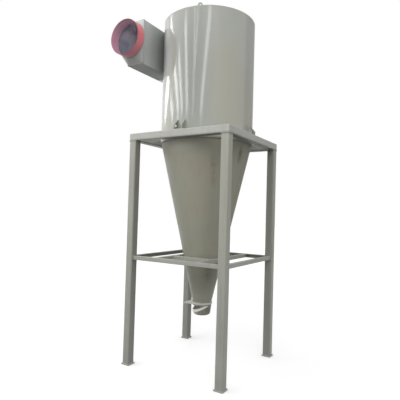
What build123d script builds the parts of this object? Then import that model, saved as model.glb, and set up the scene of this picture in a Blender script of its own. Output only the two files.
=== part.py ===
"""Cyclone dust separator on a four-legged steel stand.

Millimetres, +Z up. The origin is on the ground at the middle of the bounding box.
The cyclone's own axis stands at (axis_x, axis_y), because the inlet reaches out on two sides.
"""

import math
import os

from build123d import *

# Stand
beam_clearance = 8.0  # between the cylinder and each top beam
leg_side = 80.0
leg_wall = 5.0
tube_round = 8.0  # outer corner radius of the square tubes
foot_margin = 8.0  # foot plate beyond the leg on each side
foot_thickness = 10.0
beam_depth = 75.0
beam_wall = 5.0
brace_rise = 445.0  # from the cone's lower end up to the lower frame
brace_setback = 15.0  # outer face of a brace behind the outer face of the legs
brace_side = 40.0
brace_wall = 4.0
cross_bar_side = 40.0
cone_clearance = 5.0  # between the cone and the bars around it

# Cyclone body
body_radius = 487.0
sheet = 5.0  # wall of the body, cone and inlet
cone_height = 1693.0
frame_overlap = 40.0  # cylinder's lower edge below the top of the frame
cylinder_height = 780.0  # from the cone up to the inlet
head_height = 460.0
cover_thickness = 6.0
rim_height = 10.0
rim_width = 10.0

# Inlet
duct_width = 203.0
duct_overhang = 28.0  # straight duct beyond the front of the body
transition_length = 82.0
transition_flats = 24  # folded flats around the square-to-round piece
transition_round = 10.0  # folded corner radius at its square end
collar_radius = 181.0
collar_length = 100.0
tongue_length = 8.0  # seam bar where the duct's inner wall meets the body

# Gas outlet
finder_radius = 240.0
finder_wall = 5.0
finder_drop = 85.0  # inner pipe below the underside of the inlet
outlet_height = 80.0
outlet_flange_width = 35.0
outlet_flange_thickness = 6.0

# Dust outlet
ground_clearance = 480.0  # from the ground up to the end of the spout
dust_bore = 95.0
dust_wall = 5.0
cone_flange_radius = 108.0
cone_flange_thickness = 12.0
plate_half_width = 106.0  # also the radius of the plate's round end
plate_reach = 160.0  # longer end of the outlet plate, from the axis
plate_thickness = 8.0
neck_length = 12.0
spout_length = 100.0
spout_taper = 12.0  # by how much the spout's radius narrows downwards
spout_round = 25.0  # outer corner radius at the spout's lower end
spout_bore = 60.0
mouth_slope = 27.0  # degrees that the spout's side mouth slopes down towards the left leg
lip_width = 22.0
lip_thickness = 6.0

# Lugs
lug_width = 116.0
lug_base = 10.0
lug_setback = 28.0  # lug behind the outer face of its beam
lug_height = 100.0  # gusset above its base plate
lug_toe = 32.0  # height of the gusset's outer end
gusset_thickness = 8.0
gusset_spacing = 86.0
eye_angle = -72.0  # first lifting eye, from +X
eye_inset = 37.0  # from the inner face of the rim to the middle of an eye plate
eye_width = 50.0
eye_height = 60.0
eye_thickness = 10.0
eye_hole = 12.0

# Heights worked out from the sizes above, from the ground up
spout_top = ground_clearance + spout_length
plate_bottom = spout_top + neck_length
flange_bottom = plate_bottom + plate_thickness
cone_bottom = flange_bottom + cone_flange_thickness
brace_underside = cone_bottom + brace_rise
cone_top = cone_bottom + cone_height
beam_top = cone_top + frame_overlap
beam_underside = beam_top - beam_depth
head_bottom = cone_top + cylinder_height
finder_bottom = head_bottom - finder_drop
head_top = head_bottom + head_height
cover_top = head_top + cover_thickness
outlet_top = cover_top + outlet_height

# Widths worked out from the sizes above
frame_reach = body_radius + beam_clearance + leg_side
leg_centre = frame_reach - leg_side / 2
brace_length = 2 * (frame_reach - leg_side)
brace_reach = frame_reach - brace_setback
lug_reach = frame_reach - lug_setback
foot_side = leg_side + 2 * foot_margin
foot_reach = frame_reach + foot_margin
eye_radius = body_radius - rim_width - eye_inset
neck_radius = dust_bore + dust_wall
spout_radius = neck_radius - spout_taper
duct_length = body_radius + duct_overhang
duct_reach = body_radius + duct_width
duct_middle = (head_bottom + head_top) / 2
duct_centre = body_radius + duct_width / 2
collar_root = duct_length + transition_length
collar_front = collar_root + collar_length
inlet_reach = max(duct_reach, duct_centre + collar_radius)
axis_x = (inlet_reach - foot_reach) / 2
axis_y = (collar_front - foot_reach) / 2
scroll_radius = (duct_reach**2 + body_radius**2) / (2 * duct_reach)
scroll_centre = scroll_radius - duct_reach

axis_plane = Plane((axis_x, axis_y, 0))
upright_plane = Plane((axis_x, axis_y, 0), x_dir=(1, 0, 0), z_dir=(0, -1, 0))
upright_axis = Axis((axis_x, axis_y, 0), (0, 0, 1))
corners = {"front": (1, -1), "right": (1, 1), "back": (-1, 1), "left": (-1, -1)}
sides = {"front_left": 0, "front_right": 90, "back_right": 180, "back_left": 270}

os.makedirs("parts", exist_ok=True)


def save(piece, name):
    """Label a finished piece and write it out."""
    piece.part.label = name
    export_step(piece.part, f"parts/{name}.step")


def level(height):
    """Horizontal plane on the cyclone's axis."""
    return axis_plane.offset(height)


def side_plane(angle, height):
    """Horizontal plane turned so that its -Y points at one side of the stand."""
    return Plane((axis_x, axis_y, height)).rotated((0, 0, angle))


def duct_plane(forward):
    """Upright plane across the inlet, facing the inlet's mouth."""
    centre = (axis_x - duct_centre, axis_y - forward, duct_middle)
    return Plane(centre, x_dir=(1, 0, 0), z_dir=(0, -1, 0))


def make_ring(name, outer_radius, inner_radius, bottom, top):
    """Round tube or flat ring on the cyclone's axis."""
    with BuildPart() as ring:
        with BuildSketch(level(bottom)):
            Circle(outer_radius)
            Circle(inner_radius, mode=Mode.SUBTRACT)
        extrude(amount=top - bottom)
    save(ring, name)


def folded_outline(half_width, half_height, radius):
    """Points around a rectangle whose round corners are folded from flats."""
    points = []
    for index in range(transition_flats):
        turn = math.tau * (index + 0.5) / transition_flats
        across = math.copysign(half_width - radius, math.cos(turn)) + radius * math.cos(turn)
        upward = math.copysign(half_height - radius, math.sin(turn)) + radius * math.sin(turn)
        points.append((across, upward))
    return points


def scroll_outline(radius):
    """Sketch the quarter of the inlet scroll that lies behind the duct."""
    with Locations((scroll_centre, 0)):
        Circle(radius)
    with Locations((-duct_reach / 2, duct_reach / 2)):
        Rectangle(duct_reach, duct_reach, mode=Mode.INTERSECT)


# Legs and their foot plates
for corner, (toward_x, toward_y) in corners.items():
    leg_place = (toward_x * leg_centre, toward_y * leg_centre)
    with BuildPart() as foot:
        with BuildSketch(level(0)):
            with Locations(leg_place):
                Rectangle(foot_side, foot_side)
        extrude(amount=foot_thickness)
    save(foot, f"{corner}_foot")

    with BuildPart() as leg:
        with BuildSketch(level(foot_thickness)):
            with Locations(leg_place):
                RectangleRounded(leg_side, leg_side, tube_round)
                bore_side = leg_side - 2 * leg_wall
                RectangleRounded(bore_side, bore_side, tube_round - leg_wall, mode=Mode.SUBTRACT)
        extrude(amount=beam_underside - foot_thickness)
    save(leg, f"{corner}_leg")

# Top frame: four mitred tubes on the legs
for side, angle in sides.items():
    with BuildPart() as beam:
        inner_reach = frame_reach - leg_side
        with BuildSketch(side_plane(angle, beam_underside)):
            with BuildLine():
                Polyline(
                    (-frame_reach, -frame_reach),
                    (frame_reach, -frame_reach),
                    (inner_reach, -inner_reach),
                    (-inner_reach, -inner_reach),
                    close=True,
                )
            make_face()
        extrude(amount=beam_depth)
        along = Plane((0, 0, 0)).rotated((0, 0, angle)).x_dir
        fillet(beam.edges().filter_by(Axis((0, 0, 0), along)), tube_round)
        hollow_outer = frame_reach - beam_wall
        hollow_inner = inner_reach + beam_wall
        with BuildSketch(side_plane(angle, beam_underside + beam_wall)):
            with BuildLine():
                Polyline(
                    (-hollow_outer, -hollow_outer),
                    (hollow_outer, -hollow_outer),
                    (hollow_inner, -hollow_inner),
                    (-hollow_inner, -hollow_inner),
                    close=True,
                )
            make_face()
        extrude(amount=beam_depth - 2 * beam_wall, mode=Mode.SUBTRACT)
    save(beam, f"{side}_beam")

# Lower frame: four channels between the legs, with their open sides inward
for side, angle in sides.items():
    with BuildPart() as brace:
        brace_end = side_plane(angle, brace_underside + brace_side / 2)
        start = brace_end.from_local_coords((-brace_length / 2, brace_side / 2 - brace_reach, 0))
        with BuildSketch(Plane(start, x_dir=brace_end.y_dir, z_dir=brace_end.x_dir)) as channel:
            Rectangle(brace_side, brace_side)
            fillet(channel.vertices().group_by(Axis.X)[0], brace_wall)
            with Locations((brace_wall, 0)):
                Rectangle(brace_side, brace_side - 2 * brace_wall, mode=Mode.SUBTRACT)
        extrude(amount=brace_length)
    save(brace, f"{side}_brace")

# Square of bars that steadies the cone: two cross bars and the ties between them
cone_slope = (body_radius - neck_radius) / cone_height
bar_middle = brace_underside + brace_side / 2
bar_top = bar_middle + cross_bar_side / 2
cone_radius_at_bar = body_radius - cone_slope * (cone_top - bar_top)
bar_place = cone_radius_at_bar + cone_clearance + cross_bar_side / 2
bar_length = 2 * (brace_reach - brace_side)
tie_length = 2 * bar_place - cross_bar_side
bar_bore = cross_bar_side - 2 * brace_wall
for bar_name, toward_x in (("left_cross_bar", -1), ("right_cross_bar", 1)):
    with BuildPart() as cross_bar:
        start = (axis_x + toward_x * bar_place, axis_y - bar_length / 2, bar_middle)
        with BuildSketch(Plane(start, x_dir=(1, 0, 0), z_dir=(0, 1, 0))):
            RectangleRounded(cross_bar_side, cross_bar_side, brace_wall)
            Rectangle(bar_bore, bar_bore, mode=Mode.SUBTRACT)
        extrude(amount=bar_length)
    save(cross_bar, bar_name)

with BuildPart() as ties:
    with BuildSketch(Plane((axis_x - tie_length / 2, axis_y, bar_middle), x_dir=(0, 1, 0), z_dir=(1, 0, 0))):
        with Locations((-bar_place, 0), (bar_place, 0)):
            RectangleRounded(cross_bar_side, cross_bar_side, brace_wall)
            Rectangle(bar_bore, bar_bore, mode=Mode.SUBTRACT)
    extrude(amount=tie_length)
save(ties, "cone_ties")

# Cylinder, cone and the ring that edges the cover
make_ring("cylinder_shell", body_radius, body_radius - sheet, cone_top, head_bottom)
make_ring("top_rim", body_radius, body_radius - rim_width, cover_top, cover_top + rim_height)

with BuildPart() as cone:
    with BuildSketch(upright_plane):
        with BuildLine():
            Polyline(
                (dust_bore, cone_bottom),
                (neck_radius, cone_bottom),
                (body_radius, cone_top),
                (body_radius - sheet, cone_top),
                close=True,
            )
        make_face()
    revolve(axis=upright_axis)
save(cone, "cone_shell")

# Head: three quarters of the cylinder beside the inlet, open behind the duct
with BuildPart() as head:
    with BuildSketch(level(head_bottom)):
        Circle(body_radius)
        Circle(body_radius - sheet, mode=Mode.SUBTRACT)
        with Locations((-duct_reach / 2, duct_reach / 2)):
            Rectangle(duct_reach, duct_reach, mode=Mode.SUBTRACT)
    extrude(amount=head_height)
save(head, "head_shell")

# Scroll: the curved outer wall that leads the gas from the duct into the head
with BuildPart() as scroll_floor:
    with BuildSketch(level(head_bottom)):
        scroll_outline(scroll_radius)
        Circle(body_radius - sheet, mode=Mode.SUBTRACT)
    extrude(amount=sheet)
save(scroll_floor, "scroll_floor")

with BuildPart() as scroll_wall:
    with BuildSketch(level(head_bottom + sheet)):
        scroll_outline(scroll_radius)
        with Locations((scroll_centre, 0)):
            Circle(scroll_radius - sheet, mode=Mode.SUBTRACT)
    extrude(amount=head_height - sheet)
save(scroll_wall, "scroll_wall")

with BuildPart() as cover:
    with BuildSketch(level(head_top)):
        scroll_outline(scroll_radius)
        Circle(body_radius)
        Circle(finder_radius - finder_wall, mode=Mode.SUBTRACT)
    extrude(amount=cover_thickness)
save(cover, "top_cover")

# Inlet: straight duct, square-to-round transition and round collar
with BuildPart() as duct:
    with BuildSketch(duct_plane(0)):
        Rectangle(duct_width, head_height)
        Rectangle(duct_width - 2 * sheet, head_height - 2 * sheet, mode=Mode.SUBTRACT)
    extrude(amount=duct_length)
    with BuildSketch(level(head_bottom + sheet)):
        with Locations((-body_radius, tongue_length / 2)):
            Rectangle(2 * sheet, tongue_length)
    extrude(amount=head_height - sheet)
save(duct, "inlet_duct")

with BuildPart() as transition:
    for inset, mode in ((0, Mode.ADD), (sheet, Mode.SUBTRACT)):
        half_width = duct_width / 2 - inset
        half_height = head_height / 2 - inset
        round_end = collar_radius - inset
        with BuildSketch(duct_plane(duct_length)):
            with BuildLine():
                Polyline(*folded_outline(half_width, half_height, transition_round - inset), close=True)
            make_face()
        with BuildSketch(duct_plane(collar_root)):
            with BuildLine():
                Polyline(*folded_outline(round_end, round_end, round_end), close=True)
            make_face()
        loft(ruled=True, mode=mode)
save(transition, "inlet_transition")

with BuildPart() as collar:
    with BuildSketch(duct_plane(collar_root)):
        Circle(collar_radius)
        Circle(collar_radius - sheet, mode=Mode.SUBTRACT)
    extrude(amount=collar_length)
save(collar, "inlet_collar")

# Gas outlet: inner pipe under the cover, collar and flange above it
finder_bore = finder_radius - finder_wall
outlet_rim = finder_radius + outlet_flange_width
make_ring("vortex_finder", finder_radius, finder_bore, finder_bottom, head_top)
make_ring("gas_outlet_pipe", finder_radius, finder_bore, cover_top, outlet_top)
make_ring("gas_outlet_flange", outlet_rim, finder_bore, outlet_top, outlet_top + outlet_flange_thickness)

# Dust outlet under the cone, from the flange down
make_ring("cone_flange", cone_flange_radius, dust_bore, flange_bottom, cone_bottom)
make_ring("dust_neck", neck_radius, dust_bore, spout_top, plate_bottom)

with BuildPart() as outlet_plate:
    with BuildSketch(level(plate_bottom)):
        Circle(plate_half_width)
        with Locations((-plate_reach / 2, 0)):
            Rectangle(plate_reach, 2 * plate_half_width)
        Circle(dust_bore, mode=Mode.SUBTRACT)
    extrude(amount=plate_thickness)
save(outlet_plate, "outlet_plate")

# Spout: a tapered bowl with a side mouth, and the lip around that mouth
downhill = math.tan(math.radians(mouth_slope)) / math.sqrt(2)
mouth_plane = Plane((axis_x, axis_y, spout_top), x_dir=(1, -1, 0), z_dir=(-downhill, -downhill, 1))
with BuildPart() as spout:
    with BuildSketch(upright_plane) as bowl:
        with BuildLine():
            Polyline(
                (dust_bore, spout_top),
                (neck_radius, spout_top),
                (spout_radius, ground_clearance),
                (spout_bore, ground_clearance),
                (spout_bore, ground_clearance + dust_wall),
                (spout_radius - dust_wall, ground_clearance + dust_wall),
                close=True,
            )
        make_face()
        fillet(bowl.vertices().group_by(Axis.Y)[1].sort_by(Axis.X)[-1], spout_round - dust_wall)
        fillet(bowl.vertices().group_by(Axis.Y)[0].sort_by(Axis.X)[-1], spout_round)
    revolve(axis=upright_axis)
    split(bisect_by=mouth_plane, keep=Keep.BOTTOM)
save(spout, "dust_spout")

with BuildPart() as lip:
    lip_bottom = ground_clearance + spout_round
    lip_radius = spout_radius + spout_taper * spout_round / spout_length
    with BuildSketch(upright_plane):
        with BuildLine():
            Polyline(
                (neck_radius, spout_top),
                (neck_radius + lip_thickness, spout_top),
                (lip_radius + lip_thickness, lip_bottom),
                (lip_radius, lip_bottom),
                close=True,
            )
        make_face()
    revolve(axis=upright_axis)
    split(bisect_by=mouth_plane, keep=Keep.BOTTOM)
    split(bisect_by=mouth_plane.offset(-lip_width), keep=Keep.TOP)
save(lip, "spout_flange")

# Support lugs: a base plate on each top beam, with two gussets up the cylinder
for side, angle in sides.items():
    with BuildPart() as lug:
        with BuildSketch(side_plane(angle, beam_top)):
            with Locations((0, -(lug_reach + body_radius - lug_width) / 2)):
                Rectangle(lug_width, lug_reach - body_radius + lug_width)
        extrude(amount=lug_base)
        upright = side_plane(angle, beam_top)
        for toward in (-1, 1):
            far_face = toward * gusset_spacing / 2 + gusset_thickness / 2
            start = upright.from_local_coords((far_face, 0, lug_base))
            with BuildSketch(Plane(start, x_dir=-upright.y_dir, z_dir=-upright.x_dir)):
                with BuildLine():
                    Polyline(
                        (body_radius - lug_width, 0),
                        (lug_reach, 0),
                        (lug_reach, lug_toe),
                        (body_radius, lug_height),
                        (body_radius - lug_width, lug_height),
                        close=True,
                    )
                make_face()
            extrude(amount=gusset_thickness)
        with BuildSketch(level(beam_top)):
            Circle(body_radius)
        extrude(amount=lug_base + lug_height, mode=Mode.SUBTRACT)
    save(lug, f"{side}_lug")

# Lifting eyes standing on the cover
for index, eye_name in enumerate(corners):
    turn = eye_angle + 90 * index
    facing = Plane((axis_x, axis_y, cover_top)).rotated((0, 0, turn))
    foot_point = facing.from_local_coords((eye_radius - eye_thickness / 2, 0, 0))
    with BuildPart() as eye:
        with BuildSketch(Plane(foot_point, x_dir=facing.y_dir, z_dir=facing.x_dir)):
            with Locations((0, (eye_height - eye_width / 2) / 2)):
                Rectangle(eye_width, eye_height - eye_width / 2)
            with Locations((0, eye_height - eye_width / 2)):
                Circle(eye_width / 2)
                Circle(eye_hole, mode=Mode.SUBTRACT)
        extrude(amount=eye_thickness)
    save(eye, f"{eye_name}_lifting_eye")
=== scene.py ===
"""Looks of the cyclone separator: paint, welds, a bolt, camera and studio light."""

import math

import bmesh
import bpy
from mathutils import Matrix, Vector


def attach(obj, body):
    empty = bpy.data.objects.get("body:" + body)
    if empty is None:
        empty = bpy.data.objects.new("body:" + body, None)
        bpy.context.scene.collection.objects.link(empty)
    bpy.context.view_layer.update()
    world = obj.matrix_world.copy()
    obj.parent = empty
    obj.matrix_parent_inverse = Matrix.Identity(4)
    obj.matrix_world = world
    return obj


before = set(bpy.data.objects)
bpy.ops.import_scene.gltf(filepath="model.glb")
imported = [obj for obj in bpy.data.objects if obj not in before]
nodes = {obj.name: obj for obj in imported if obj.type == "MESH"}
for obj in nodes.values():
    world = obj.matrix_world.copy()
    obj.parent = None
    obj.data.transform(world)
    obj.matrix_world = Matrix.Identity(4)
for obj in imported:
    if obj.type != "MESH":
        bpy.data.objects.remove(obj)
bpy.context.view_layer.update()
scene = bpy.context.scene

# Places from the CAD model, in metres, counted from the cyclone's axis and the ground
AXIS = Vector((0.09325, 0.0570, 0.0))
BODY_RADIUS = 0.487
BAND_BOTTOM = 2.275
CONE_BOTTOM = 0.612
CONE_END_RADIUS = 0.100
HEAD_BOTTOM = 3.085
HEAD_TOP = 3.545
BEAM_BOTTOM = 2.270
BEAM_TOP = 2.345
FOOT_TOP = 0.010
LEG_CENTRE = 0.535
LEG_HALF = 0.040
LEG_INNER = LEG_CENTRE - LEG_HALF
LEG_MIDDLE = 1.2
BRACE_CENTRE = 0.540
BRACE_HALF = 0.020
BRACE_BOTTOM = 1.057
BRACE_TOP = 1.097
BAR_PLACE = 0.23587
LUG_FRONT = 0.547
LUG_HALF = 0.058
LUG_TOP = 2.355
GUSSET_HALF_GAP = 0.039
GUSSET_THICKNESS = 0.008
GUSSET_HEIGHT = 0.094
DUCT_X = -0.5885
DUCT_Z = 3.315
DUCT_HALF = 0.1015
DUCT_FRONT = -0.515
COLLAR_ROOT = -0.597
COLLAR_FRONT = -0.697
COLLAR_RADIUS = 0.181
CORNERS = ((1, -1), (1, 1), (-1, 1), (-1, -1))
UP = Vector((0, 0, 1))


def linear(red, green, blue):
    """Colour from 0-255 display values, as the shader sockets want it."""
    out = []
    for value in (red, green, blue):
        part = value / 255
        out.append(part / 12.92 if part <= 0.04045 else ((part + 0.055) / 1.055) ** 2.4)
    return (*out, 1.0)


def scaled(colour, factor):
    """Lighter or darker colour, held at white."""
    return tuple(min(1.0, factor * part) for part in colour[:3]) + (1.0,)


def at(x, y, z):
    """Point from the cyclone's axis, in metres."""
    return AXIS + Vector((x, y, z))


class Nodes:
    """Adds and links nodes in one node tree."""

    def __init__(self, node_tree):
        self.nodes = node_tree.nodes
        self.links = node_tree.links

    def add(self, kind, **values):
        node = self.nodes.new(kind)
        for key, value in values.items():
            setattr(node, key, value)
        return node

    def link(self, source, target):
        self.links.new(source, target)

    def feed(self, sockets, values):
        """Give each socket a constant, or the output of another node."""
        for socket, value in zip(sockets, values):
            if isinstance(value, (int, float, tuple, Vector)):
                socket.default_value = value
            else:
                self.link(value, socket)

    def span(self, value, low, high, out_low=0.0, out_high=1.0):
        """Value moved from the range low-high to out_low-out_high, and held at its ends."""
        node = self.add("ShaderNodeMapRange", clamp=True)
        names = ("Value", "From Min", "From Max", "To Min", "To Max")
        self.feed([node.inputs[name] for name in names], (value, low, high, out_low, out_high))
        return node.outputs["Result"]

    def math(self, operation, first, second):
        node = self.add("ShaderNodeMath", operation=operation)
        self.feed(node.inputs, (first, second))
        return node.outputs["Value"]

    def vector(self, operation, *values):
        node = self.add("ShaderNodeVectorMath", operation=operation)
        self.feed(node.inputs, values)
        return node.outputs


class Finish(Nodes):
    """Nodes of one material, with what paint and bare metal need."""

    def __init__(self, name):
        self.material = bpy.data.materials.new(name)
        self.material.use_nodes = True
        super().__init__(self.material.node_tree)
        self.shader = self.nodes["Principled BSDF"].inputs
        self.place = self.add("ShaderNodeTexCoord").outputs["Object"]

    def noise(self, scale, detail=3.0, stretch=(1, 1, 1), rough=0.55, shift=(0, 0, 0)):
        mapping = self.add("ShaderNodeMapping")
        mapping.inputs["Scale"].default_value = stretch
        mapping.inputs["Location"].default_value = shift
        self.link(self.place, mapping.inputs["Vector"])
        noise = self.add("ShaderNodeTexNoise")
        noise.inputs["Scale"].default_value = scale
        noise.inputs["Detail"].default_value = detail
        noise.inputs["Roughness"].default_value = rough
        self.link(mapping.outputs["Vector"], noise.inputs["Vector"])
        return noise.outputs["Fac"]

    def mix(self, amount, first, second):
        """Blend of two colours. Sockets 0, 6, 7 and output 2 are the ones for colours."""
        node = self.add("ShaderNodeMix", data_type="RGBA")
        self.feed([node.inputs[index] for index in (0, 6, 7)], (amount, first, second))
        return node.outputs[2]

    def height(self):
        split = self.add("ShaderNodeSeparateXYZ")
        self.link(self.place, split.inputs["Vector"])
        return split.outputs["Z"]

    def spot(self, centre, reach, amount, ragged):
        """Soft blot round a point: amount at its middle, 0 from reach on."""
        away = self.vector("SUBTRACT", self.place, centre)["Vector"]
        part = self.vector("DIVIDE", away, reach)["Vector"]
        core = self.span(self.vector("LENGTH", part)["Value"], 1.0, 0.15, 0.0, amount)
        if not ragged:
            return core
        return self.math("MULTIPLY", core, self.span(self.noise(22.0, 4.0), 0.3, 0.6))

    def normal(self):
        return self.add("ShaderNodeNewGeometry").outputs["Normal"]

    def inside(self, point, across):
        """1 on faces that look towards a line through a point, 0 on faces that look away."""
        away = self.vector("SUBTRACT", self.place, point)["Vector"]
        flat = self.vector("MULTIPLY", away, across)["Vector"]
        return self.span(self.vector("DOT_PRODUCT", flat, self.normal())["Value"], -0.01, -0.02)

    def edges(self, radius):
        """1 near a sharp edge, 0 on flat or gently curved metal."""
        bevel = self.add("ShaderNodeBevel", samples=4)
        bevel.inputs["Radius"].default_value = radius
        dot = self.vector("DOT_PRODUCT", bevel.outputs["Normal"], self.normal())["Value"]
        return self.span(dot, 0.995, 0.9)

    def bump(self, height, distance, strength=1.0):
        node = self.add("ShaderNodeBump")
        node.inputs["Distance"].default_value = distance
        node.inputs["Strength"].default_value = strength
        self.link(height, node.inputs["Height"])
        return node.outputs["Normal"]


SPECK = (0.05, 0.045, 0.04, 1.0)
# Darker, greener colour that the frame takes on near the ground
LOW_TONE = linear(125, 132, 126)
LOW_TONE_TOP = 1.6
EDGE_RADIUS = 0.006
GRAIN_DEPTH = 0.0004
SHEET_WAVE = 0.0015
COAT_ROUGHNESS = 0.12


def paint(
    name, colour, rough, specular, tint=None, grime=0.25, wear=0.35, low_tone=0.0,
    coat=0.0, blots=(), inner=None, inner_blots=(),
):
    """Sprayed enamel over mill steel, with uneven tone, runs, grime, rubbed edges, a tone that
    changes towards the ground, and blots.

    A blot is its centre from the axis, its reach, its strength, its colour and, outside only,
    whether its edge is ragged; some blots are stains, others painted shade and painted light. The
    lining is a colour and the line that inside faces look to; a pale lining is painted light.
    """
    tree = Finish(name)
    tone = tree.span(tree.noise(1.7, 4.0, shift=(3.1, 0.4, 1.9)), 0.35, 0.68)
    base = tree.mix(tone, scaled(colour, 0.93), colour)
    if tint is not None:
        patch = tree.noise(2.6, 2.0, stretch=(1, 1, 0.45), shift=(7.7, 2.2, 0.3))
        base = tree.mix(tree.span(patch, 0.48, 0.72, 0.0, 0.6), base, tint)
    runs = tree.span(tree.noise(9.0, 4.0, stretch=(2.4, 2.4, 0.16)), 0.52, 0.78, 0.0, grime)
    base = tree.mix(runs, base, scaled(colour, 0.6))
    specks = tree.span(tree.noise(70.0, 2.0), 0.7, 0.8, 0.0, 0.3 * grime)
    base = tree.mix(specks, base, SPECK)
    for centre, reach, amount, stain, ragged in blots:
        base = tree.mix(tree.spot(at(*centre), reach, amount, ragged), base, stain)
    # Towards the ground the paint goes darker and greener, up to a set height
    if low_tone:
        low = tree.span(tree.height(), 0.0, LOW_TONE_TOP, low_tone, 0.0)
        uneven = tree.span(tree.noise(5.0, 4.0), 0.25, 0.6, 0.5, 1.0)
        base = tree.mix(tree.math("MULTIPLY", low, uneven), base, LOW_TONE)
    if wear:
        edge = tree.edges(EDGE_RADIUS)
        rub = tree.span(tree.noise(24.0, 3.0), 0.38, 0.6, 0.0, wear)
        base = tree.mix(tree.math("MULTIPLY", edge, rub), base, scaled(colour, 1.75))
    if inner is not None:
        lining, point, across = inner
        tone = tree.span(tree.noise(6.0, 4.0), 0.35, 0.7)
        lining = tree.mix(tone, scaled(lining, 0.85), lining)
        for centre, reach, amount, stain in inner_blots:
            lining = tree.mix(tree.spot(at(*centre), reach, amount, False), lining, stain)
        base = tree.mix(tree.inside(point, across), base, lining)
    tree.link(base, tree.shader["Base Color"])
    gloss = tree.noise(5.5, 4.0, shift=(1.3, 5.1, 2.2))
    tree.link(tree.span(gloss, 0.3, 0.7, 0.85 * rough, 1.25 * rough), tree.shader["Roughness"])
    tree.shader["Specular IOR Level"].default_value = specular
    grain = tree.bump(tree.noise(160.0, 2.0), GRAIN_DEPTH, 0.4)
    tree.link(grain, tree.shader["Normal"])
    if coat:
        tree.shader["Coat Weight"].default_value = coat
        tree.shader["Coat Roughness"].default_value = COAT_ROUGHNESS
        sheet = tree.noise(4.2, 1.0, stretch=(1.6, 1.6, 0.1), rough=0.3)
        tree.link(tree.bump(sheet, SHEET_WAVE), tree.shader["Coat Normal"])
    return tree.material


RUST = linear(142, 116, 92)
MOSS = linear(92, 92, 70)
PALE = linear(214, 214, 204)
SHADE = linear(84, 84, 82)
# Colour of painted shade under the lower frame
UNDER_FRAME_SHADE = linear(104, 105, 96)
GREY = linear(168, 170, 163)
GREY_TINT = linear(165, 163, 148)
WARM = linear(172, 170, 153)
ROUND_UPRIGHT = (AXIS, (1, 1, 0))
ROUND_DUCT = (at(DUCT_X, 0, DUCT_Z), (1, 0, 1))
LUG_REACH = (0.022, 0.06, 0.075)
LEG_REACH_X = (0.022, 0.12, 5.0)
LEG_REACH_Y = (0.12, 0.022, 5.0)

body_paint = paint(
    "body_enamel", GREY, rough=0.42, specular=0.25, tint=GREY_TINT,
    grime=0.08, wear=0.0, coat=1.0,
    blots=(
        ((0.399, -0.279, 2.65), (0.24, 0.24, 0.65), 0.7, WARM, False),
        # Painted shade: a darker patch that holds down the lamps' light on the cylinder's left
        # front
        ((0.10, -0.476, 2.95), (0.24, 0.24, 1.0), 0.95, linear(144, 146, 141), False),
        # Painted light: two paler patches beside the inlet duct, where the duct shades the cylinder
        ((-0.235, -0.425, 3.14), (0.14, 0.10, 0.28), 0.85, linear(206, 205, 206), False),
        ((-0.265, -0.405, 3.38), (0.12, 0.09, 0.17), 0.85, linear(222, 222, 220), False),
    ),
    # Lining paler than the inside's light would show: painted light
    inner=(linear(226, 229, 238), *ROUND_UPRIGHT),
)
trim_paint = paint("trim_enamel", GREY, rough=0.42, specular=0.35, tint=GREY_TINT, grime=0.15)
# Paler than the body paint, to make up for the shade the duct stands in beside the cylinder:
# painted light
duct_paint = paint(
    "duct_enamel", linear(190, 193, 192), rough=0.5, specular=0.22, tint=linear(185, 187, 184),
    grime=0.15,
    # Painted shade on the duct's side next to the cylinder
    blots=(((-0.487, -0.08, 3.30), (0.09, 0.40, 0.6), 0.55, SHADE, False),),
    # Pale lining, lighter at the top and darker at the bottom inside: painted light and painted
    # shade
    inner=(linear(204, 210, 222), *ROUND_DUCT),
    inner_blots=(
        ((-0.685, -0.45, 3.50), (0.15, 0.25, 0.24), 0.95, linear(255, 255, 255)),
        ((-0.685, -0.45, 3.13), (0.15, 0.25, 0.26), 0.7, linear(150, 152, 162)),
    ),
)
# Paler than the body paint, to match the light on the transition: painted light
mouth_paint = paint(
    "mouth_enamel", linear(200, 203, 202), rough=0.5, specular=0.22, tint=linear(195, 197, 194),
    grime=0.15,
    inner=(linear(122, 126, 138), *ROUND_DUCT),
    # Lining lighter at the top and darker at the bottom: painted light and painted shade
    inner_blots=(
        ((-0.62, -0.55, 3.49), (0.25, 0.20, 0.17), 0.85, linear(236, 239, 250)),
        ((-0.66, -0.54, 3.16), (0.25, 0.20, 0.18), 0.5, linear(104, 106, 114)),
    ),
)
cone_paint = paint(
    "cone_enamel", linear(156, 156, 142), rough=0.42, specular=0.3, tint=linear(158, 152, 134),
    blots=(
        ((0.274, -0.321, 2.019), (0.05, 0.05, 0.16), 0.5, RUST, True),
        ((0.260, -0.289, 1.876), (0.04, 0.04, 0.12), 0.4, RUST, True),
        ((0.447, -0.089, 2.169), (0.06, 0.06, 0.10), 0.7, MOSS, True),
        ((0.438, -0.067, 2.112), (0.05, 0.05, 0.10), 0.6, MOSS, True),
        ((-0.118, -0.465, 2.262), (0.008, 0.008, 0.03), 0.6, PALE, False),
        # Painted light: a paler top of the cone, where the top beams throw shade
        ((-0.10, -0.46, 2.26), (0.36, 0.26, 0.12), 0.75, linear(184, 184, 172), False),
        # Painted shade under the lower frame on the cone, with a ragged painted shadow of a cross
        # bar
        ((0.06, -0.10, 0.90), (0.30, 0.30, 0.22), 0.58, UNDER_FRAME_SHADE, False),
        ((0.135, -0.115, 0.94), (0.06, 0.06, 0.12), 0.8, UNDER_FRAME_SHADE, True),
    ),
)
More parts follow.
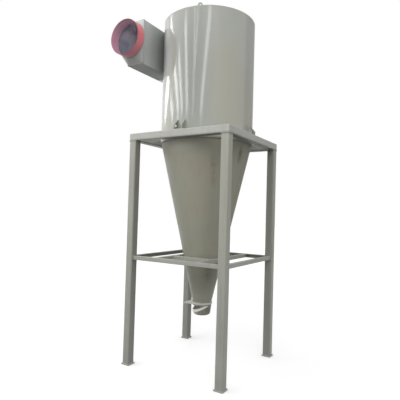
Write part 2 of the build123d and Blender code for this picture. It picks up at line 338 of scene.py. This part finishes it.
frame_paint = paint(
    "frame_enamel", linear(170, 171, 161), rough=0.4, specular=0.35, tint=linear(165, 164, 152),
    grime=0.3, low_tone=0.5,
    blots=(
        # Painted shade: darker gussets of the front and right lugs and inner faces of three legs
        ((-0.045, -0.515, 2.405), LUG_REACH, 0.85, SHADE, False),
        ((0.045, -0.515, 2.405), LUG_REACH, 0.35, SHADE, False),
        ((0.515, 0.0, 2.405), (0.06, 0.09, 0.075), 0.6, SHADE, False),
        ((LEG_CENTRE, LEG_INNER, LEG_MIDDLE), LEG_REACH_Y, 0.45, SHADE, False),
        ((-LEG_INNER, -LEG_CENTRE, LEG_MIDDLE), LEG_REACH_X, 0.45, SHADE, False),
        ((-LEG_INNER, LEG_CENTRE, LEG_MIDDLE), LEG_REACH_X, 0.5, SHADE, False),
    ),
)
beam_paint = paint(
    "beam_enamel", linear(182, 183, 177), rough=0.4, specular=0.35, tint=linear(176, 176, 168),
    grime=0.3, wear=0.6,
    # Painted shade along the bottom of the top beams
    blots=(((0, 0, BEAM_BOTTOM - 0.010), (6.0, 6.0, 0.03), 0.75, SHADE, False),),
)
plate_paint = paint(
    "plate_enamel", linear(208, 209, 202), rough=0.45, specular=0.35, grime=0.35,
)
band_paint = paint(
    "band_enamel", GREY, rough=0.45, specular=0.3, grime=0.2, wear=0.0,
    blots=(((-0.296, -0.390, 2.29), (0.22, 0.22, 0.06), 0.95, linear(244, 244, 234), False),),
)
foot_paint = paint("foot_enamel", linear(166, 168, 162), rough=0.5, specular=0.3, grime=0.35)
# Near white, to show the lip bright in the outlet plate's shade: painted light
lip_paint = paint("lip_enamel", linear(248, 248, 240), rough=0.45, specular=0.35, grime=0.3)
spout_paint = paint(
    "spout_enamel", linear(140, 140, 128), rough=0.45, specular=0.35, tint=linear(146, 140, 122),
    grime=0.4,
    blots=(
        # Painted light on the spout's left side and painted shade on its right, under the plate
        ((-0.085, -0.075, 0.505), (0.10, 0.10, 0.07), 0.95, linear(244, 244, 230), False),
        ((0.068, -0.012, 0.548), (0.06, 0.06, 0.06), 0.85, SHADE, False),
    ),
    # Pale lining: painted light inside the spout
    inner=(linear(244, 244, 236), *ROUND_UPRIGHT),
)
inner_steel = paint(
    "inner_steel", linear(196, 199, 212), rough=0.5, specular=0.4, tint=linear(186, 186, 196),
    grime=0.2, wear=0.1,
)
red_paint = paint(
    "red_primer", linear(224, 122, 126), rough=0.5, specular=0.3, tint=linear(217, 133, 141),
    grime=0.15, wear=0.0,
    blots=(
        ((-0.57, -0.65, 3.12), (0.32, 0.20, 0.24), 0.85, linear(236, 160, 182), False),
        ((DUCT_X, COLLAR_FRONT, DUCT_Z), (0.60, 0.008, 0.60), 1.0, linear(120, 66, 80), False),
    ),
    # Paler lining, palest at the top inside: painted light
    inner=(linear(222, 164, 186), *ROUND_DUCT),
    inner_blots=(((-0.62, -0.65, 3.50), (0.24, 0.20, 0.24), 0.95, linear(255, 224, 236)),),
)
weld_paint = paint(
    "painted_weld", linear(158, 159, 152), rough=0.4, specular=0.4, grime=0.4, wear=0.0,
)


def steel_finish():
    """Zinc-plated fastener."""
    tree = Finish("zinc_fastener")
    tone = tree.span(tree.noise(90.0, 3.0), 0.35, 0.7)
    base = tree.mix(tone, linear(226, 226, 222), linear(240, 240, 237))
    tree.link(base, tree.shader["Base Color"])
    tree.shader["Metallic"].default_value = 0.15
    gloss = tree.span(tree.noise(120.0, 2.0), 0.3, 0.7, 0.32, 0.5)
    tree.link(gloss, tree.shader["Roughness"])
    return tree.material


zinc = steel_finish()

# Finish of each CAD node. Nodes that aren't named here are steel of the stand.
FINISHES = {
    "inlet_duct": duct_paint,
    "inlet_transition": mouth_paint,
    "cone_shell": cone_paint,
    "cone_flange": plate_paint,
    "outlet_plate": plate_paint,
    "dust_neck": spout_paint,
    "spout_flange": lip_paint,
    "dust_spout": spout_paint,
    "inlet_collar": red_paint,
    "vortex_finder": inner_steel,
    "top_rim": trim_paint,
    "gas_outlet_flange": trim_paint,
}
BODY_NODES = (
    "cylinder_shell", "head_shell", "scroll_floor", "scroll_wall", "top_cover", "gas_outlet_pipe",
)
FINISHES.update(dict.fromkeys(BODY_NODES, body_paint))
for corner in ("front", "right", "back", "left"):
    FINISHES[f"{corner}_lifting_eye"] = trim_paint
    FINISHES[f"{corner}_foot"] = foot_paint
for side in ("front_left", "front_right", "back_right", "back_left"):
    FINISHES[f"{side}_beam"] = beam_paint

for name, node in nodes.items():
    for place in node.material_slots:
        place.link = "OBJECT"
        place.material = FINISHES.get(name, frame_paint)


def finish_piece(name, build, material, smooth=True):
    """Turn a bmesh into a piece that rides on the part."""
    mesh = bpy.data.meshes.new(name)
    bmesh.ops.recalc_face_normals(build, faces=build.faces)
    build.to_mesh(mesh)
    build.free()
    mesh.polygons.foreach_set("use_smooth", [smooth] * len(mesh.polygons))
    mesh.materials.append(material)
    piece = bpy.data.objects.new(name, mesh)
    scene.collection.objects.link(piece)
    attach(piece, "root")


def bridge(build, ring, following):
    """Faces from one ring of points to the next."""
    count = len(ring)
    for side in range(count):
        other = (side + 1) % count
        build.faces.new((ring[side], ring[other], following[other], following[side]))


BEAD_SIDES = 7
BEAD_STEP = 0.9
BEAD_END = 0.55


def swell(index):
    """Thickness of a weld bead at one of its ripples, uneven along its length."""
    ripple = 0.16 * math.cos(index * math.pi)
    return 1.0 + ripple + 0.12 * math.sin(index * 0.53) + 0.07 * math.sin(index * 0.117)


def bead(build, points, size, closed=False):
    """Rippled weld bead along a path of points, size being its radius."""
    dense = []
    count = len(points)
    for index in range(count if closed else count - 1):
        start = points[index]
        step = points[(index + 1) % count] - start
        pieces = max(1, round(step.length / (BEAD_STEP * size)))
        dense.extend(start + step * part / pieces for part in range(pieces))
    if not closed:
        dense.append(points[-1])
    total = len(dense)
    rings = []
    for index, point in enumerate(dense):
        before = dense[index - 1] if closed or index else point
        after = dense[(index + 1) % total] if closed or index + 1 < total else point
        along = (after - before).normalized()
        helper = UP if abs(along.z) < 0.8 else Vector((1, 0, 0))
        across = along.cross(helper).normalized()
        upward = across.cross(along)
        thick = swell(index)
        if not closed and index in (0, total - 1):
            thick *= BEAD_END
        ring = []
        for side in range(BEAD_SIDES):
            turn = math.tau * side / BEAD_SIDES
            outward = across * math.cos(turn) + upward * math.sin(turn)
            ring.append(build.verts.new(point + outward * size * thick))
        rings.append(ring)
    for index in range(total if closed else total - 1):
        bridge(build, rings[index], rings[(index + 1) % total])
    if not closed:
        build.faces.new(rings[0][::-1])
        build.faces.new(rings[-1])


def circle(centre, radius, upward=Vector((0, 1, 0)), count=160):
    """Points round a circle in the plane of the x axis and a second direction."""
    across = Vector((1, 0, 0))
    turns = [math.tau * index / count for index in range(count)]
    return [
        centre + (across * math.cos(turn) + upward * math.sin(turn)) * radius for turn in turns
    ]


def turned(point, quarter):
    """Point turned by quarter turns round the cyclone's axis."""
    return AXIS + Matrix.Rotation(quarter * math.pi / 2, 3, "Z") @ point


# Welds of the body
BODY_WELD = 0.004
BAND_WELD_RADIUS = 0.4805
CONE_WELD_LIFT = 0.002
HEAD_HALF = (HEAD_TOP - HEAD_BOTTOM) / 2
body_welds = bmesh.new()
seam = [at(DUCT_X + sx * DUCT_HALF, DUCT_FRONT, DUCT_Z + sz * HEAD_HALF) for sx, sz in CORNERS]
for loop in (
    circle(at(0, 0, BAND_BOTTOM), BAND_WELD_RADIUS),
    circle(at(0, 0, CONE_BOTTOM + CONE_WELD_LIFT), CONE_END_RADIUS, count=48),
    seam,
    circle(at(DUCT_X, COLLAR_ROOT, DUCT_Z), COLLAR_RADIUS, upward=UP, count=96),
):
    bead(body_welds, loop, BODY_WELD, closed=True)
finish_piece("body_welds", body_welds, weld_paint)

# Lower edge of the cylinder, which laps over the top of the cone: radius and height of its section
BAND_PROFILE = (
    (0.4860, 2.306), (0.4892, 2.306), (0.4895, 2.304),
    (0.4895, 2.2768), (0.4880, 2.2750), (0.4785, 2.2750),
)
BAND_STEPS = 192
band = bmesh.new()
rings = []
for index in range(BAND_STEPS):
    turn = math.tau * index / BAND_STEPS
    rings.append([
        band.verts.new(at(radius * math.cos(turn), radius * math.sin(turn), level))
        for radius, level in BAND_PROFILE
    ])
for ring, following in zip(rings, rings[1:] + rings[:1]):
    bridge(band, ring, following)
finish_piece("joint_band", band, band_paint)

# Welds of the stand
LEG_WELD = 0.0045
BRACE_WELD = 0.0035
THIN_WELD = 0.003
WELD_LIFT = 0.001
GUSSET_SETBACK = 0.004
LUG_SIDE_WELD = 0.03
frame_welds = bmesh.new()
for toward_x, toward_y in CORNERS:
    centre = at(toward_x * LEG_CENTRE, toward_y * LEG_CENTRE, 0)
    for level in (FOOT_TOP + WELD_LIFT, BEAM_BOTTOM - WELD_LIFT):
        loop = [centre + Vector((sx * LEG_HALF, sy * LEG_HALF, level)) for sx, sy in CORNERS]
        bead(frame_welds, loop, LEG_WELD, closed=True)
for quarter in range(4):
    for end in (-1, 1):
        path = [
            turned(Vector((end * LEG_INNER, -BRACE_CENTRE + side * BRACE_HALF, level)), quarter)
            for side, level in ((-1, BRACE_BOTTOM), (-1, BRACE_TOP), (1, BRACE_TOP))
        ]
        bead(frame_welds, path, BRACE_WELD)
    for toward in (-1, 1):
        gusset = toward * (GUSSET_HALF_GAP + GUSSET_THICKNESS / 2)
        for side in (-1, 1):
            foot = gusset + side * GUSSET_THICKNESS / 2
            shell = -math.sqrt(BODY_RADIUS ** 2 - foot ** 2)
            path = [
                Vector((foot, -LUG_FRONT + GUSSET_SETBACK, LUG_TOP)),
                Vector((foot, shell, LUG_TOP)),
                Vector((foot, shell, LUG_TOP + GUSSET_HEIGHT)),
            ]
            bead(frame_welds, [turned(point, quarter) for point in path], THIN_WELD)
    path = [
        Vector((side * LUG_HALF, -LUG_FRONT + setback, BEAM_TOP))
        for side, setback in ((-1, LUG_SIDE_WELD), (-1, 0), (1, 0), (1, LUG_SIDE_WELD))
    ]
    bead(frame_welds, [turned(point, quarter) for point in path], BRACE_WELD)
for toward in (-1, 1):
    for side in (-1, 1):
        edge = toward * BAR_PLACE + side * BRACE_HALF
        far_edge = edge - side * 2 * BRACE_HALF
        for end in (-1, 1):
            tie_end = end * (BAR_PLACE - BRACE_HALF)
            for level in (BRACE_BOTTOM, BRACE_TOP):
                path = [at(tie_end, far_edge, level), at(tie_end, edge, level)]
                bead(frame_welds, path, THIN_WELD)
finish_piece("frame_welds", frame_welds, weld_paint)


def prism(build, centre, axis, across, radius, depth, sides, chamfer):
    """Closed prism along an axis, with a small chamfer on its far end."""
    other = axis.cross(across)
    rings = []
    for along, size in ((0.0, radius), (depth - chamfer, radius), (depth, radius - chamfer)):
        ring = []
        for side in range(sides):
            turn = math.tau * side / sides
            outward = across * math.cos(turn) + other * math.sin(turn)
            ring.append(build.verts.new(centre + axis * along + outward * size))
        rings.append(ring)
    for ring, following in zip(rings, rings[1:]):
        bridge(build, ring, following)
    build.faces.new(rings[0][::-1])
    build.faces.new(rings[-1])


# Earthing bolt through the left gusset of the front lug: a round washer under a hexagon head
BOLT_PLACE = at(-GUSSET_HALF_GAP, -0.528, 2.385)
OUTWARD = Vector((1, 0, 0))
BOLT_WASHER = dict(radius=0.014, depth=0.0025, sides=32, chamfer=0.0005)
BOLT_HEAD = dict(radius=0.0105, depth=0.008, sides=6, chamfer=0.0014)
bolt = bmesh.new()
prism(bolt, BOLT_PLACE, OUTWARD, UP, **BOLT_WASHER)
prism(bolt, BOLT_PLACE + OUTWARD * BOLT_WASHER["depth"], OUTWARD, UP, **BOLT_HEAD)
finish_piece("earthing_bolt", bolt, zinc, smooth=False)

# Camera at the photograph's place
CAMERA_PLACE = at(2.2299, -3.7048, 1.5574)
SENSOR_WIDTH = 36.0
FOCAL_LENGTH = 36.327
YAW, PITCH, ROLL = (math.radians(angle) for angle in (31.735, 1.731, 1.643))
forward = Vector((
    -math.sin(YAW) * math.cos(PITCH),
    math.cos(YAW) * math.cos(PITCH),
    math.sin(PITCH),
))
level_right = Vector((math.cos(YAW), math.sin(YAW), 0))
level_up = level_right.cross(forward)
right = math.cos(ROLL) * level_right + math.sin(ROLL) * level_up
upward = math.cos(ROLL) * level_up - math.sin(ROLL) * level_right
camera = bpy.data.objects.new("camera", bpy.data.cameras.new("camera"))
scene.collection.objects.link(camera)
pose = Matrix((right, upward, -forward)).transposed().to_4x4()
pose.translation = CAMERA_PLACE
camera.matrix_world = pose
camera.data.sensor_width = SENSOR_WIDTH
camera.data.lens = FOCAL_LENGTH
scene.camera = camera


def show_and_light(tree, output, shown, lighting):
    """Surface of the studio: one shader is seen, also in reflections, and one lights the part."""
    path = tree.add("ShaderNodeLightPath").outputs
    seen = tree.math("MAXIMUM", path["Is Camera Ray"], path["Is Glossy Ray"])
    seen = tree.math("MAXIMUM", seen, path["Is Transmission Ray"])
    join = tree.add("ShaderNodeMixShader")
    tree.feed(join.inputs, (seen, lighting, shown))
    tree.link(join.outputs[0], tree.add(output).inputs["Surface"])


def plane(name, corners):
    """Flat four-cornered object of the studio."""
    mesh = bpy.data.meshes.new(name)
    mesh.from_pydata(corners, [], [(0, 1, 2, 3)])
    piece = bpy.data.objects.new(name, mesh)
    scene.collection.objects.link(piece)
    finish = bpy.data.materials.new(name)
    finish.use_nodes = True
    mesh.materials.append(finish)
    return piece, finish.node_tree


# Studio: white surround, with more of its light from near the horizon and from the left
HORIZON_LIGHT, ZENITH_LIGHT, ZENITH_FROM = 1.35, 0.9, 0.9
LEFT = (-0.75, -0.66, 0.0)
RIGHT_SHARE, LEFT_SHARE = 0.84, 1.16
world = bpy.data.worlds.new("studio")
scene.world = world
world.use_nodes = True
world.node_tree.nodes.clear()
tree = Nodes(world.node_tree)
white = tree.add("ShaderNodeBackground")
white.inputs["Color"].default_value = (1, 1, 1, 1)
white.inputs["Strength"].default_value = 1.0
soft = tree.add("ShaderNodeBackground")
direction = tree.add("ShaderNodeTexCoord").outputs["Generated"]
split = tree.add("ShaderNodeSeparateXYZ")
tree.link(direction, split.inputs["Vector"])
fall = tree.span(split.outputs["Z"], 0.0, ZENITH_FROM, HORIZON_LIGHT, ZENITH_LIGHT)
turn = tree.vector("DOT_PRODUCT", direction, LEFT)["Value"]
lean = tree.span(turn, -1.0, 1.0, RIGHT_SHARE, LEFT_SHARE)
tree.link(tree.math("MULTIPLY", fall, lean), soft.inputs["Strength"])
show_and_light(tree, "ShaderNodeOutputWorld", white.outputs[0], soft.outputs[0])

# Floor: pale, with the part's shadow, and lifted to white further off. It throws back less light.
FLOOR_HALF = 40.0
FLOOR_DROP = 0.0005
FLOOR_COLOUR = (0.75, 0.75, 0.75, 1)
EARTH_COLOUR = (0.16, 0.158, 0.148, 1)
LIFT_FROM, LIFT_TO = 2.0, 7.0
LIFT_NEAR, LIFT_FAR = 0.32, 0.45
floor, floor_nodes = plane(
    "floor",
    [(FLOOR_HALF * x, FLOOR_HALF * y, 0) for x, y in ((-1, -1), (1, -1), (1, 1), (-1, 1))],
)
floor.location.z = -FLOOR_DROP
floor_nodes.nodes.clear()
tree = Nodes(floor_nodes)
pale = tree.add("ShaderNodeBsdfDiffuse")
pale.inputs["Color"].default_value = FLOOR_COLOUR
earth = tree.add("ShaderNodeBsdfDiffuse")
earth.inputs["Color"].default_value = EARTH_COLOUR
lift = tree.add("ShaderNodeEmission")
away = tree.vector("LENGTH", tree.add("ShaderNodeNewGeometry").outputs["Position"])["Value"]
rise = tree.span(away, LIFT_FROM, LIFT_TO, LIFT_NEAR, LIFT_FAR)
tree.link(rise, lift.inputs["Strength"])
shown = tree.add("ShaderNodeAddShader")
tree.feed(shown.inputs, (pale.outputs[0], lift.outputs[0]))
show_and_light(tree, "ShaderNodeOutputMaterial", shown.outputs[0], earth.outputs[0])

# Grey card that only shows in reflections, behind the part on the right
CARD_TURN = math.radians(80)
CARD_AWAY = 4.0
CARD_HALF = 3.6
CARD_LOW, CARD_HIGH = 0.5, 7.5
outward = Vector((math.cos(CARD_TURN), math.sin(CARD_TURN), 0))
along = Vector((-math.sin(CARD_TURN), math.cos(CARD_TURN), 0))
card, card_nodes = plane(
    "card",
    [
        at(*(outward * CARD_AWAY + along * side * CARD_HALF + UP * level))
        for side, level in ((-1, CARD_LOW), (1, CARD_LOW), (1, CARD_HIGH), (-1, CARD_HIGH))
    ],
)
card_shader = card_nodes.nodes["Principled BSDF"].inputs
card_shader["Base Color"].default_value = (0.5, 0.5, 0.49, 1)
card_shader["Roughness"].default_value = 0.9
card.visible_camera = False
card.visible_diffuse = False
card.visible_shadow = False
card.visible_transmission = False

# Strip lights on a circle round the part: turn in degrees and height of each end, width, brightness
LAMP_CIRCLE = 5.0
LAMP_AIM = at(0, 0, 2.9)
STRIPS = (
    ("strip_1", 174.4, 3.73, 192.4, 4.56, 0.66, 6.6),
    ("strip_2", -148.0, 3.59, -159.6, 3.98, 0.32, 6.0),
    ("strip_3", -130.9, 3.61, -168.4, 5.77, 0.35, 8.5),
    ("strip_4", -119.8, 3.65, -135.6, 4.98, 0.35, 7.5),
    ("strip_5", -106.1, 3.66, -118.7, 5.71, 0.48, 6.5),
    ("strip_6", -92.2, 3.65, -94.4, 5.91, 0.17, 5.6),
    ("strip_7", -91.6, 4.62, -87.0, 5.90, 0.17, 6.2),
    ("strip_8", -74.9, 3.60, -58.1, 5.93, 0.50, 5.5),
)
FILL_PLACE = at(4.0, -4.6, 6.8)
FILL_ALONG = Vector((-0.45, 0.52, 0.73)).normalized()
FILL_SIDE = 3.0
FILL_BRIGHTNESS = 3.6


def on_circle(turn, height):
    """Point on the circle of the lamps."""
    angle = math.radians(turn)
    return at(LAMP_CIRCLE * math.cos(angle), LAMP_CIRCLE * math.sin(angle), height)


def lamp(name, middle, along, width, length, brightness):
    """Rectangular soft light that faces the cylinder, with its length along a direction."""
    facing = LAMP_AIM - middle
    facing = (facing - along * facing.dot(along)).normalized()
    data = bpy.data.lights.new(name, "AREA")
    data.shape = "RECTANGLE"
    data.size = width
    data.size_y = length
    data.energy = brightness * math.pi * width * length
    light = bpy.data.objects.new(name, data)
    turn = Matrix((along.cross(-facing), along, -facing)).transposed().to_4x4()
    turn.translation = middle
    light.matrix_world = turn
    light.visible_camera = False
    scene.collection.objects.link(light)
    return light


for name, low_turn, low, high_turn, high, width, brightness in STRIPS:
    bottom, top = on_circle(low_turn, low), on_circle(high_turn, high)
    slope = top - bottom
    lamp(name, (bottom + top) / 2, slope.normalized(), width, slope.length, brightness)
fill = lamp("fill", FILL_PLACE, FILL_ALONG, FILL_SIDE, FILL_SIDE, FILL_BRIGHTNESS)
fill.visible_glossy = False

scene.view_settings.view_transform = "Standard"
